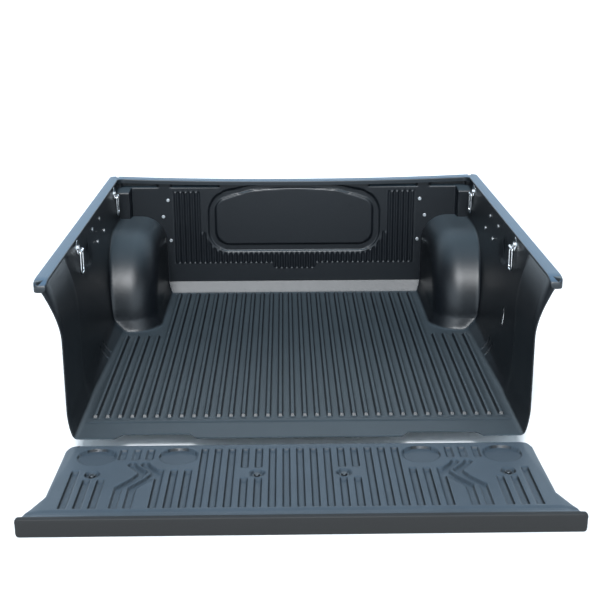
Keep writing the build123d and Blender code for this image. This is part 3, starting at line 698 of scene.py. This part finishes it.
# Each plastic: its colour on steep faces, painted dark as shade, its painted sheen on flat faces (also the
# scuff colour), roughness, grain per metre, bump, scuffs
tub_plastic = plastic(
    "charcoal_liner", (0.0042, 0.0053, 0.0070), (0.034, 0.047, 0.057), 0.33, 1100.0, 0.5, 0.6)
gate_plastic = plastic(
    "tailgate_liner_plastic", (0.0030, 0.0042, 0.0055), (0.046, 0.066, 0.087), 0.36, 1100.0, 0.5, 0.6)
cap_plastic = plastic(
    "satin_caps", (0.010, 0.013, 0.016), (0.066, 0.112, 0.165), 0.36, 1500.0, 0.2, 0.3)
gate_cap_plastic = plastic(
    "tailgate_cap_black", (0.0065, 0.0063, 0.0062), (0.020, 0.022, 0.024), 0.60, 1300.0, 0.3, 0.3)
dark_bolt = metal("dark_bolt", (0.10, 0.11, 0.12), 0.35, 0.15)
chrome = metal("chrome_tie_down", (0.80, 0.81, 0.82), 0.08, 0.10)
zinc = metal("zinc_fastener", (0.62, 0.63, 0.64), 0.28, 0.18)

# Pieces

for side, name in ((-1, "left"), (1, "right")):
    points, keep = tub_half(side)
    surface(f"tub_{name}_half", points, "liner", tub_plastic,
            ("tub_liner",), faces=keep, thick=sheet)
points, keep = front_wall()
surface("tub_front_wall", points, "liner", tub_plastic,
        ("tub_liner",), faces=keep, thick=sheet)
for side, name in ((-1, "left"), (1, "right")):
    surface(f"rail_cap_{name}_rolled", rail_cap(side), "liner", cap_plastic,
            (f"rail_cap_{name}",), thick=cap_skin)
surface("header_cap_rolled", header_cap(), "liner", cap_plastic,
        ("header_cap",), thick=cap_skin)
surface("tailgate_cap_rolled", tailgate_cap(), "tailgate", gate_cap_plastic,
        ("tailgate_top_cap",), thick=cap_skin)
surface("tailgate_sheet", tailgate_sheet(), "tailgate", gate_plastic,
        ("tailgate_liner",), thick=sheet)

finishes = {"chrome": chrome, "zinc_steel": zinc, "cap_plastic": cap_plastic, "liner_plastic": tub_plastic}
dark_nodes = ("tailgate_bolts", "tailgate_washers")
slots = {entry["node"]: entry["material_slot"] for entry in frame["record"]["subparts"]}
for node, piece in frame["nodes"].items():
    piece.data.materials.clear()
    piece.data.materials.append(dark_bolt if node in dark_nodes else finishes[slots[node]])

# Floor, light and camera

floor_mesh = bpy.data.meshes.new("studio_floor")
ground, reach = cad_low.z - 0.0005, 60
corner_signs = ((-1, -1), (1, -1), (1, 1), (-1, 1))
floor_corners = [(x * reach, y * reach, ground) for x, y in corner_signs]
floor_mesh.from_pydata(floor_corners, [], [(0, 1, 2, 3)])
studio_floor = bpy.data.objects.new("studio_floor", floor_mesh)
bpy.context.scene.collection.objects.link(studio_floor)
pale = bpy.data.materials.new("pale_floor")
pale.use_nodes = True
pale_shader = pale.node_tree.nodes["Principled BSDF"]
pale_shader.inputs["Base Color"].default_value = (0.92, 0.93, 0.94, 1)
pale_shader.inputs["Roughness"].default_value = 0.9
floor_mesh.materials.append(pale)
studio_floor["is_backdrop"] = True

# Light from low in front of and behind the object, fading upwards, over a weak even glow
world = bpy.data.worlds.new("studio")
world.use_nodes = True
sky = world.node_tree
direction = add(sky, "ShaderNodeTexCoord")
split = add(sky, "ShaderNodeSeparateXYZ")
sky.links.new(direction.outputs["Generated"], split.inputs[0])
height = add(sky, "ShaderNodeValToRGB")
ramp = height.color_ramp
ramp.elements[0].position, ramp.elements[0].color = 0.42, (1, 1, 1, 1)
ramp.elements[1].position, ramp.elements[1].color = 0.80, (0, 0, 0, 1)
sky.links.new(split.outputs["Z"], height.inputs[0])
base_glow, total = 0.12, None
for low, high, glow in ((0.1, 0.8, 2.2), (-0.15, -0.75, 3.0)):
    spread = {"From Min": low, "From Max": high, "To Max": glow}
    facing = add(sky, "ShaderNodeMapRange", spread, interpolation_type="SMOOTHSTEP")
    sky.links.new(split.outputs["Y"], facing.inputs["Value"])
    lit = add(sky, "ShaderNodeMath", {2: base_glow}, operation="MULTIPLY_ADD")
    sky.links.new(facing.outputs["Result"], lit.inputs[0])
    sky.links.new(height.outputs[0], lit.inputs[1])
    if total:
        sky.links.new(total, lit.inputs[2])
    total = lit.outputs[0]
sky.links.new(total, sky.nodes["Background"].inputs["Strength"])
sky.nodes["Background"].inputs["Color"].default_value = (0.74, 0.88, 1.0, 1)
bpy.context.scene.world = world

shine = Vector((0.04, 0.66, -0.75))
sun = bpy.data.lights.new("soft_key", "SUN")
sun.energy = 4.3
sun.angle = radians(18)
sun.color = (0.94, 0.97, 1.0)
key = bpy.data.objects.new("soft_key", sun)
key.rotation_euler = shine.to_track_quat("-Z", "Y").to_euler()
bpy.context.scene.collection.objects.link(key)

camera_place = (-0.0383, -3.8815, 1.416)
yaw, pitch, roll = radians(0.76), radians(17.42), radians(-0.23)
camera_data = bpy.data.cameras.new("camera")
camera_data.sensor_width = 36.0
camera_data.lens = 67.94
camera_data.clip_end = 300.0
camera = bpy.data.objects.new("camera", camera_data)
ahead = Vector((sin(yaw) * cos(pitch), cos(yaw) * cos(pitch), -sin(pitch)))
level_right = Vector((cos(yaw), -sin(yaw), 0))
level_up = level_right.cross(ahead)
camera_right = cos(roll) * level_right + sin(roll) * level_up
camera_up = -sin(roll) * level_right + cos(roll) * level_up
turned = Matrix((camera_right, camera_up, -ahead)).transposed().to_4x4()
camera.matrix_world = Matrix.Translation(camera_place) @ turned
bpy.context.scene.collection.objects.link(camera)
bpy.context.scene.camera = camera
bpy.context.scene.view_settings.view_transform = "Standard"

low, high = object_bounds()
